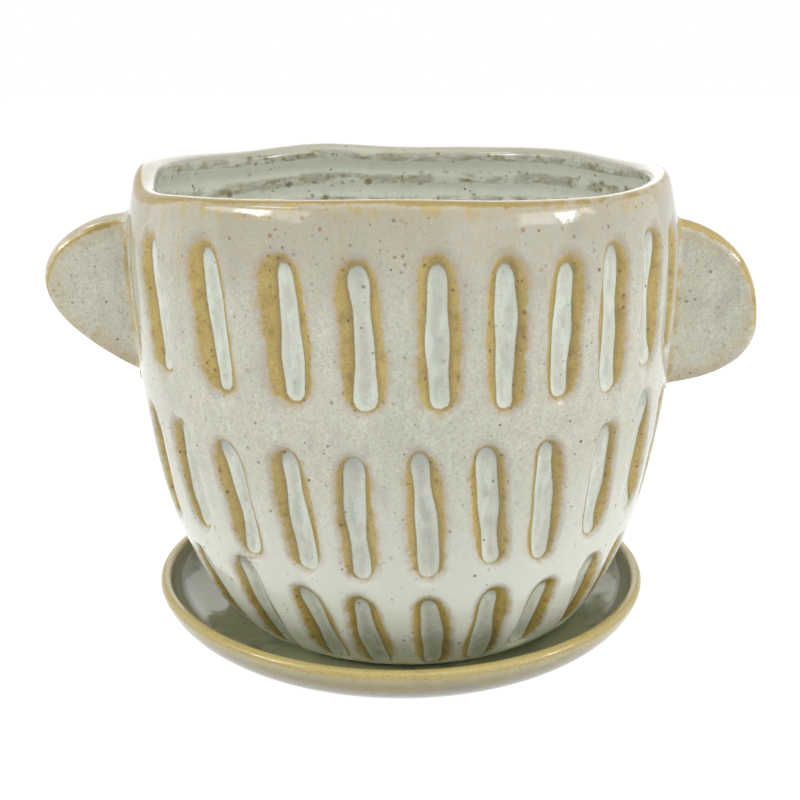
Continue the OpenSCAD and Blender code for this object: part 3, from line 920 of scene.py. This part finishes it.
def wear(piece, material):
    """Give a piece its one material."""
    piece.data.materials.clear()
    piece.data.materials.append(material)


# %% [markdown]
# ## The ground coat
#
# Over plain wall the glaze is an oatmeal white. Seen close it is a mist of fine lilac, pink
# and milky grains, half a millimetre to one and a half across, over broad soft clouds, with
# specks of iron that bleed through from the clay. All three finishes begin with it.

# %% Clouds and specks
RUNS = 0.5
CLOUDS = [
    (SAGE, (16, 2, 0.5), 7.0, RUNS, (0.45, 0.7), 0.5, False),
    (LILAC, (5, 3, 0.6), 3.0, RUNS, (0.48, 0.72), 0.42, True),
    (CREAM, (4, 3, 0.6), 87.0, RUNS, (0.5, 0.7), 0.4, False),
    (ROSE, (1.2, 3, 0.7), 13.0, 1, (0.53, 0.7), 0.34, True),
    (ASH, (0.6, 3, 0.8), 5.0, 1, (0.5, 0.68), 0.55, True),
    (CHALK, (0.6, 3, 0.8), 5.0, 1, (0.46, 0.3), 0.5, False),
    (SAGE, (0.9, 3, 0.7), 17.0, 1, (0.5, 0.64), 0.5, False),
    (CLAY, (1.1, 3, 0.7), 73.0, 1, (0.56, 0.7), 0.4, True),
]
SPECKS = [
    (RUST, 3.0, 1.0, 0.4, 14.0, 0.35),
    (BARK, 2.3, 0.72, 0.45, 5.0, 0.65),
    (IRON, 2.5, 0.62, 0.45, 9.0, 0.85),
    (FLINT, 1.7, 0.55, 0.7, 11.0, 0.5),
]


def clouds(glaze, warm=1.0):
    """Soft clouds of sage, lilac and cream, then five fine grains. A row of the table is
    a colour, its noise, where the noise starts, how tall its runs are, the step that cuts
    the noise, the strength, and whether the strength follows the piece's own warmth."""
    for colour, noise, shift, runs, cut, strength, own in CLOUDS:
        place = glaze.place if runs == 1 else glaze.stretched(1, 1, runs)
        cover = glaze.step(glaze.grain(*noise, place, shift), *cut)
        glaze.lay(colour, cover, strength * (warm if own else 1))


def iron_specks(glaze, amount=1.0):
    """Brown blooms, brown specks, pin-point dark ones and grey ones. A row of the table is
    a colour, the spacing, the size, the share of cells, the place and the strength."""
    for colour, spacing, size, share, shift, strength in SPECKS:
        glaze.lay(colour, glaze.specks(spacing, size, share * amount, shift), strength)


# %% [markdown]
# ## Glaze of the pot
#
# The pot has one glaze and many faces, so its finish is laid in turn, each in a function of
# its own: the thin coat under the rim, the burnt slopes of the grooves, the milky pools in
# them, the ochre line of the rim, and the ridges inside. Some tones are painted light:
# darker towards the rim, beside each pool and at each pool's top, and whiter towards the
# foot. The distances stored on the mesh say where, and noise in them keeps any edge from
# being a drawn line.

# %% Thin coat and painted shade under the rim
def thin_coat_and_painted_shade(glaze, crest):
    """Pinker and browner towards the rim, with faint ochre runs and small rust blooms. The dun
    tone is partly the thinner glaze and partly painted shade, as the top of the wall gets less
    light.
    """
    upper = glaze.times(glaze.step(crest, -34, -4), glaze.step(crest, 1.5, 0))
    blush = glaze.step(glaze.grain(2.0, 4, 0.7, None, 19.0), 0.46, 0.64)
    # Painted shade in part: the dun tone darkens the upper wall towards the rim.
    glaze.lay(DUN, upper, 0.7)
    glaze.lay(ROSE, (upper, blush), 0.3)
    drip = glaze.step(glaze.grain(3.0, 2, 0.5, glaze.stretched(1, 1, 0.14), 31.0), 0.6, 0.7)
    glaze.lay(OCHRE, (upper, drip), 0.4)
    glaze.lay(RUST, (upper, glaze.specks(1.9, 0.75, 0.6, 23.0)), 0.8)


# %% Burnt slopes and milky pools of the grooves
def burnt_slopes(glaze, rough, soft):
    """Ochre where a point is inside a groove, pink just outside it, darker by the pool: partly
    the glaze's own tone, partly painted shade of the steep side next to the pool.

    The stored distance is roughened by two noises, so the outer edge breaks up into
    grains, and the cover fades out at the groove's two ends, where the glaze ran over it.
    """
    carve, down, grit = glaze.field("carve"), glaze.field("down"), glaze.grit
    depth = glaze.scaled(rough, 2.0, carve)
    depth = glaze.scaled(glaze.sum("SUBTRACT", grit, 0.5), 0.8, depth)
    fade = glaze.times(glaze.step(down, 0.86, 1.0), 0.95)
    fade = glaze.scaled(glaze.step(down, 0.12, 0.02), 0.45, fade)
    depth = glaze.sum("SUBTRACT", depth, fade)
    glaze.lay(LILAC, glaze.step(depth, -1.2, 0.6), 0.3)
    glaze.lay(PINK, (glaze.step(depth, -0.7, 0.6), glaze.step(soft, -0.12, 0.12)), 0.6)
    cover = glaze.step(depth, 0.4, 1.3)
    glaze.lay(OCHRE, cover)
    glaze.lay(HONEY, (cover, glaze.step(grit, 0.52, 0.66)), 0.5)
    glaze.lay(HONEY, (cover, glaze.step(soft, -0.02, -0.25)), 0.4)
    # Painted shade in part: umber darkens the ochre right beside the pool, where the cut is
    # steepest.
    glaze.lay(UMBER, (cover, glaze.step(glaze.field("pool"), -1.6, -0.1)), 0.42)
    glaze.lay(UMBER, (cover, glaze.step(soft, 0.02, 0.25)), 0.5)
    glaze.lay(UMBER, (cover, glaze.step(grit, 0.48, 0.3)), 0.5)
    glaze.lay(BARK, (cover, glaze.specks(1.5, 0.7, 0.7, 37.0)), 0.8)
    return cover


def milky_pools(glaze, rough, soft):
    """Pale glaze down the middle of a groove: a dark seam along its sides, a greyer
    middle with blue-white streaks, a slate arch on top that is painted shade under the top end
    of the cut, and no seam at either end."""
    pool, down = glaze.field("pool"), glaze.field("down")
    bank = glaze.scaled(rough, 0.35, pool)
    open_end = glaze.times(glaze.step(down, 0.97, 0.86), glaze.step(down, 0.05, 0.2))
    glaze.lay(SEAM, (glaze.step(bank, -0.55, -0.05), open_end), 0.35)
    milky = glaze.step(bank, -0.1, 0.25)
    glaze.lay(MILK, milky)
    glaze.lay(SLATE, (glaze.step(bank, 0.5, 2.2), glaze.step(soft, -0.3, 0.2)), 0.42)
    streak = glaze.step(glaze.grain(2.2, 3, 0.6, glaze.stretched(1, 1, 0.3), 83.0), 0.47, 0.64)
    glaze.lay(FROST, (milky, streak), 0.5)
    # Painted shade: a slate arch at the top of each pool, under the top end of the cut.
    glaze.lay(SLATE, (glaze.step(bank, -0.3, 0.1), glaze.step(down, 0.2, 0.06)), 0.6)
    grains = glaze.step(glaze.grain(0.9, 3, 0.7, None, 41.0), 0.54, 0.68)
    glaze.lay(LILAC, (milky, grains), 0.35)
    glaze.lay(OATMEAL, (milky, glaze.step(down, 0.9, 1.0)), 0.5)


# %% Ochre line of the rim and ridges inside
def rim_line(glaze, crest, rough, soft):
    """Ochre just outside the crest, wide at the pot's left corner and breaking up into
    pink grains at its right, with a thinner, greyer coat on the crest itself."""
    right, grit = glaze.rightwards(), glaze.grit
    near = glaze.scaled(rough, 1.6, crest)
    worn = glaze.step(glaze.grain(22, 2, 0.5, None, 21.0), 0.38, 0.56)
    lower = glaze.scaled(worn, -0.9, -1.6)
    lower = glaze.scaled(glaze.step(right, -50, -64), -1.5, lower)
    thin = glaze.step(near, glaze.sum("SUBTRACT", lower, 0.7), lower)
    thin = glaze.times(thin, glaze.step(near, -0.2, -0.7))
    loose = glaze.times(glaze.step(right, 22, 42), glaze.step(soft, -0.1, 0.06))
    hold = glaze.scaled(loose, -0.85, 0.95)
    outer = glaze.step(near, 0, -1)
    glaze.lay(mixed_shade(ROSE, OCHRE, 0.5), (glaze.step(near, -7, -2.5), outer), 0.3)
    runs = glaze.step(glaze.grain(2.2, 2, 0.5, glaze.stretched(1, 1, 0.2), 57.0), 0.53, 0.63)
    runs = glaze.times(runs, glaze.step(near, -8, -2))
    glaze.lay(OCHRE, (runs, outer), 0.85)
    glaze.lay(MUSTARD, (thin, hold))
    glaze.lay(BARK, (thin, glaze.step(grit, 0.44, 0.3)), 0.5)
    glaze.lay(BARK, (thin, glaze.specks(5, 1.6, 0.35, 33.0)), 0.75)
    glaze.lay(PUTTY, (glaze.step(near, -0.3, 0.5), glaze.step(near, 6.0, 3.0)), 0.6)


def ridges(glaze, crest, rough, soft):
    """Warm grey smears with brown cores and blobs on the throwing ridges and under the
    rim."""
    inner, grit = glaze.step(crest, 1.0, 3.0), glaze.grit
    glaze.lay(SLATE, (inner, glaze.step(soft, -0.1, 0.3)), 0.12)
    broken = glaze.step(glaze.grain(7, 3, 0.6, glaze.stretched(1, 1, 2.5), 51.0), 0.4, 0.56)
    under = glaze.times(glaze.step(crest, 2.6, 4.4), glaze.step(crest, 7.2, 5.4))
    ridge = glaze.sum("MAXIMUM", glaze.field("ridge"), glaze.times(under, 0.9))
    ridge = glaze.scaled(rough, 0.8, ridge)
    wide = glaze.times(glaze.step(ridge, 0.2, 0.65), broken)
    glaze.lay(SMOKE, wide, 0.6)
    cores = glaze.step(glaze.grain(4, 2, 0.5, None, 53.0), 0.48, 0.64)
    band = glaze.times(glaze.step(ridge, 0.4, 0.9), glaze.times(broken, cores))
    glaze.lay(UMBER, band, 0.65)
    glaze.lay(OCHRE, (band, glaze.step(grit, 0.4, 0.65)), 0.6)
    glaze.lay(UMBER, (glaze.step(ridge, 0.05, 0.4), glaze.specks(2.8, 1.8, 0.5, 71.0)), 0.75)
    glaze.lay(BARK, (inner, glaze.specks(3.6, 1.2, 0.4, 27.0)), 0.7)


# %% Pot glaze
def pot_glaze():
    """Ground coat, then the wall, the grooves, the rim, the inside and the bare foot. The
    glaze is whiter towards the foot and on the inside: partly thicker glaze, partly painted
    light, most near the foot, where it lifts the shade that the saucer casts on the wall."""
    glaze = Glaze("oatmeal_glaze", OATMEAL)
    crest = glaze.field("crest")
    rough = glaze.ripple(1.1, 4, 0.65)
    soft = glaze.ripple(3.0, 2, 0.5, None, 4.0)
    clouds(glaze)
    # Whiter lower wall and inside: partly thicker glaze, partly painted light.
    thick_glaze_and_painted_light = glaze.sum("MAXIMUM", glaze.step(crest, -55, -108), glaze.step(crest, 2, 6))
    glaze.lay(CREAM, thick_glaze_and_painted_light, 0.9)
    # Painted light: whiter still just above the foot, lifting the shade that the saucer casts
    # there.
    glaze.lay(SNOW, glaze.step(crest, -100, -132), 0.7)
    thin_coat_and_painted_shade(glaze, crest)
    cover = burnt_slopes(glaze, rough, soft)
    milky_pools(glaze, rough, soft)
    iron_specks(glaze)
    rim_line(glaze, crest, rough, soft)
    ridges(glaze, crest, rough, soft)
    roughness = bare_foot(glaze)
    waver(glaze)
    glaze.raise_by(glaze.times(cover, glaze.grit), 0.03)
    return glaze.fire(roughness)


wear(pot, pot_glaze())

# %% [markdown]
# ## Glaze of the ears
#
# The ears take the same dip but face up and down, so the glaze leaves their knife-cut edges
# and runs together on the flats. The edge burns ochre, most on top.

# %% Ear glaze
def ear_glaze():
    """Ground coat with pink mottling towards the edge, the broken ochre line, and ochre
    blooms at the root."""
    glaze = Glaze("ear_glaze", OATMEAL)
    clouds(glaze, 1.1)
    rough = glaze.ripple(1.4, 4, 0.65)
    wide = glaze.ripple(6, 2, 0.5, None, 2.0)
    edge = glaze.scaled(rough, 2.0, glaze.field("edge"))
    glaze.lay(PINK, (glaze.step(edge, 7.0, 2.0), glaze.step(wide, -0.2, 0.1)), 0.5)
    mottle = glaze.step(glaze.grain(2.4, 3, 0.6, None, 67.0), 0.54, 0.64)
    glaze.lay(OCHRE, (mottle, glaze.step(edge, 8.0, 1.5)), 0.6)
    iron_specks(glaze, 1.3)
    glaze.lay(UMBER, glaze.specks(3.6, 1.0, 0.35, 61.0), 0.65)
    burn = glaze.scaled(rough, 1.7, glaze.field("burn"))
    burn = glaze.scaled(wide, 2.4, burn)
    root = glaze.scaled(rough, 3.0, glaze.field("root"))
    patch = glaze.times(glaze.step(root, 2.6, 0.8), glaze.step(wide, -0.12, 0.04))
    cover = glaze.sum("MAXIMUM", glaze.step(burn, -0.1, 0.5), glaze.times(patch, 0.9))
    glaze.lay(OCHRE, cover, 0.95)
    glaze.lay(UMBER, (cover, glaze.step(wide, 0.02, 0.2)), 0.5)
    glaze.lay(BARK, (cover, glaze.step(glaze.grit, 0.44, 0.3)), 0.5)
    waver(glaze)
    return glaze.fire(GLOSS)


ear_finish = ear_glaze()
for piece in ears:
    wear(piece, ear_finish)

# %% [markdown]
# ## Glaze of the saucer
#
# The lip of the saucer is rubbed almost bare, so it fires a golden ochre. Inside, the glaze
# pools grey-green with darker smears, and outside it thins from ochre to grey-brown.

# %% Saucer glaze
def saucer_glaze():
    """Ground coat, grey-green inside with smears, a honey lip, an uneven ochre break
    outside that gives way to grey-brown and then to grey-green, and a bare foot."""
    glaze = Glaze("saucer_glaze", OATMEAL)
    clouds(glaze, 0.9)
    lip = glaze.field("lip")
    rough = glaze.ripple(1.6, 4, 0.65)
    wide = glaze.ripple(9, 3, 0.6, glaze.stretched(1, 1, 2.5), 2.0)
    grit = glaze.grit
    inner = glaze.step(lip, 2.0, 5.0)
    glaze.lay(MOSS, inner, 0.9)
    glaze.lay(LILAC, (inner, glaze.step(lip, 9.0, 3.5)), 0.4)
    glaze.lay(LICHEN, (glaze.step(lip, 5.0, 9.0), glaze.step(wide, 0.0, 0.2)), 0.6)
    glaze.lay(DRIFTWOOD, glaze.step(lip, -2.5, -6.0), 0.85)
    glaze.lay(PEWTER, glaze.step(lip, -14.0, -20.0), 0.6)
    iron_specks(glaze)
    near = glaze.scaled(rough, 1.6, lip)
    inside_edge = glaze.step(near, 2.9, 1.9)
    rim = glaze.times(glaze.step(near, -3.6, -2.0), inside_edge)
    broken = glaze.scaled(wide, 14.0, near)
    broken = glaze.times(glaze.step(broken, -9.0, -5.0), inside_edge)
    cover = glaze.sum("MAXIMUM", rim, glaze.times(broken, 0.6))
    glaze.lay(STRAW, cover)
    glaze.lay(HONEY, (rim, glaze.step(grit, 0.36, 0.6)), 0.3)
    glaze.lay(UMBER, (cover, glaze.step(wide, 0.02, 0.2)), 0.35)
    glaze.lay(BARK, (cover, glaze.step(grit, 0.43, 0.29)), 0.6)
    roughness = bare_foot(glaze)
    waver(glaze, 6, 0.10)
    return glaze.fire(roughness)


wear(saucer, saucer_glaze())

# %% [markdown]
# ## Floor, light and camera
#
# The pot stands on a white floor in a white room. What the camera and the shiny glaze see is
# pure white, and what lights the pot is much dimmer, so the glaze keeps its own colour. Two
# soft boxes stand left and right of the camera, each with a brighter middle: they make the
# two highlights under the rim. A small one higher up on the left makes the sparks on the
# ear and inside the rim. Two wide wings light the sides, and large weak boxes all round
# fill in what is left: about as bright as the white room, they don't show in the glaze.

# %% Floor and room
def seen_directly(tree):
    """1 for camera, glossy and transmission rays, 0 for the rays that carry light."""
    path = tree.nodes.new("ShaderNodeLightPath")
    total = path.outputs["Is Camera Ray"]
    for name in ("Is Glossy Ray", "Is Transmission Ray"):
        node = tree.nodes.new("ShaderNodeMath")
        node.operation = "MAXIMUM"
        tree.links.new(total, node.inputs[0])
        tree.links.new(path.outputs[name], node.inputs[1])
        total = node.outputs[0]
    return total


SHOWN_WHITE, PAPER_WHITE, ROOM_LIGHT, FLOOR_HALF = 0.3, 0.8, 0.12, 3.0
CORNERS = [(-1, -1), (1, -1), (1, 1), (-1, 1)]


def white_floor():
    """A wide flat square at z = 0. Seen directly, its own glow makes up what the room's
    light leaves short of white; for carried light it is plain paper, lit from all round."""
    corners = [(x * FLOOR_HALF, y * FLOOR_HALF, 0) for x, y in CORNERS]
    mesh = bpy.data.meshes.new("floor")
    mesh.from_pydata(corners, [], [(0, 1, 2, 3)])
    floor = bpy.data.objects.new("floor", mesh)
    bpy.context.scene.collection.objects.link(floor)
    material = bpy.data.materials.new("white_floor")
    material.use_nodes = True
    tree = material.node_tree
    tree.nodes.remove(tree.nodes["Principled BSDF"])
    choose = tree.nodes.new("ShaderNodeMixShader")
    tree.links.new(seen_directly(tree), choose.inputs[0])
    kinds = ((PAPER_WHITE, 0.0), (SHOWN_WHITE, 1 - SHOWN_WHITE * ROOM_LIGHT))
    for number, (white, strength) in enumerate(kinds):
        coat = tree.nodes.new("ShaderNodeBsdfDiffuse")
        coat.inputs["Color"].default_value = (white, white, white, 1)
        glow = tree.nodes.new("ShaderNodeEmission")
        glow.inputs["Strength"].default_value = strength
        both = tree.nodes.new("ShaderNodeAddShader")
        tree.links.new(coat.outputs[0], both.inputs[0])
        tree.links.new(glow.outputs[0], both.inputs[1])
        tree.links.new(both.outputs[0], choose.inputs[number + 1])
    tree.links.new(choose.outputs[0], tree.nodes["Material Output"].inputs["Surface"])
    mesh.materials.append(material)


def white_room(light):
    """World that shows white and lights with the given strength."""
    world = bpy.data.worlds.new("white_room")
    world.use_nodes = True
    bpy.context.scene.world = world
    tree = world.node_tree
    ground = tree.nodes["Background"]
    ground.inputs["Color"].default_value = (1, 1, 1, 1)
    span = tree.nodes.new("ShaderNodeMapRange")
    span.inputs["To Min"].default_value = light
    tree.links.new(seen_directly(tree), span.inputs["Value"])
    tree.links.new(span.outputs[0], ground.inputs["Strength"])
    print("the room lights at", light)


white_floor()
white_room(ROOM_LIGHT)

# %% Soft boxes
AIM_Z = 0.08


def soft_box(name, azimuth, elevation, distance, size, watts):
    """Flat lamp that looks at the middle of the pot. Azimuth runs from the front
    towards +X, so the lamp stands at distance times (sin a cos e, -cos a cos e, sin e)."""
    data = bpy.data.lights.new(name, "AREA")
    data.shape, data.energy = "RECTANGLE", watts
    data.size, data.size_y = size
    lamp = bpy.data.objects.new(name, data)
    a, e = np.radians([azimuth, elevation])
    way = np.array([np.sin(a) * np.cos(e), -np.cos(a) * np.cos(e), np.sin(e)])
    lamp.location = way * distance + np.array([0, 0, AIM_Z])
    lamp.rotation_euler = (np.pi / 2 - e, 0, a)
    bpy.context.scene.collection.objects.link(lamp)


LAMPS = [
    ("left_box", -62, 26.5, 1.0, (0.85, 0.22), 1.95),
    ("left_core", -62, 24, 0.98, (0.24, 0.13), 1.5),
    ("left_spark", -64, 46, 0.98, (0.3, 0.16), 1.1),
    ("right_box", 65, 21.4, 1.0, (0.62, 0.15), 1.05),
    ("right_core", 69, 19.5, 0.98, (0.13, 0.09), 0.72),
    ("right_fill", 52, 42, 1.2, (1.4, 1.15), 5.2),
    ("right_low", 45, 10, 1.2, (1.1, 0.4), 1.3),
    ("front_box", 0, 60, 1.2, (1.3, 1.1), 3.0),
    ("top_box", 0, 88, 1.3, (1.2, 1.2), 3.0),
    ("left_wing", -100, 8, 1.2, (1.1, 1.1), 2.2),
    ("right_wing", 100, 8, 1.2, (1.1, 1.1), 2.1),
    ("back_box", 180, 30, 1.3, (1.0, 1.0), 3.0),
]
for lamp in LAMPS:
    soft_box(*lamp)
print(len(LAMPS), "lamps of", sum(lamp[-1] for lamp in LAMPS), "watts in all")

# %% Camera
CAMERA_PLACE, CAMERA_TILT = (-0.00031, -0.35119, 0.16794), 73.7126
FILM_WIDTH, LENS = 36, 57.49


def photographer():
    """Camera at the photograph's place: a forearm's length before the pot, looking down."""
    data = bpy.data.cameras.new("camera")
    data.sensor_width, data.lens = FILM_WIDTH, LENS
    camera = bpy.data.objects.new("camera", data)
    camera.location = CAMERA_PLACE
    camera.rotation_euler = (np.radians(CAMERA_TILT), 0, 0)
    bpy.context.scene.collection.objects.link(camera)
    bpy.context.scene.camera = camera


photographer()
bpy.context.scene.view_settings.view_transform = "Standard"
print("the camera looks", round(90 - CAMERA_TILT, 1), "degrees down")
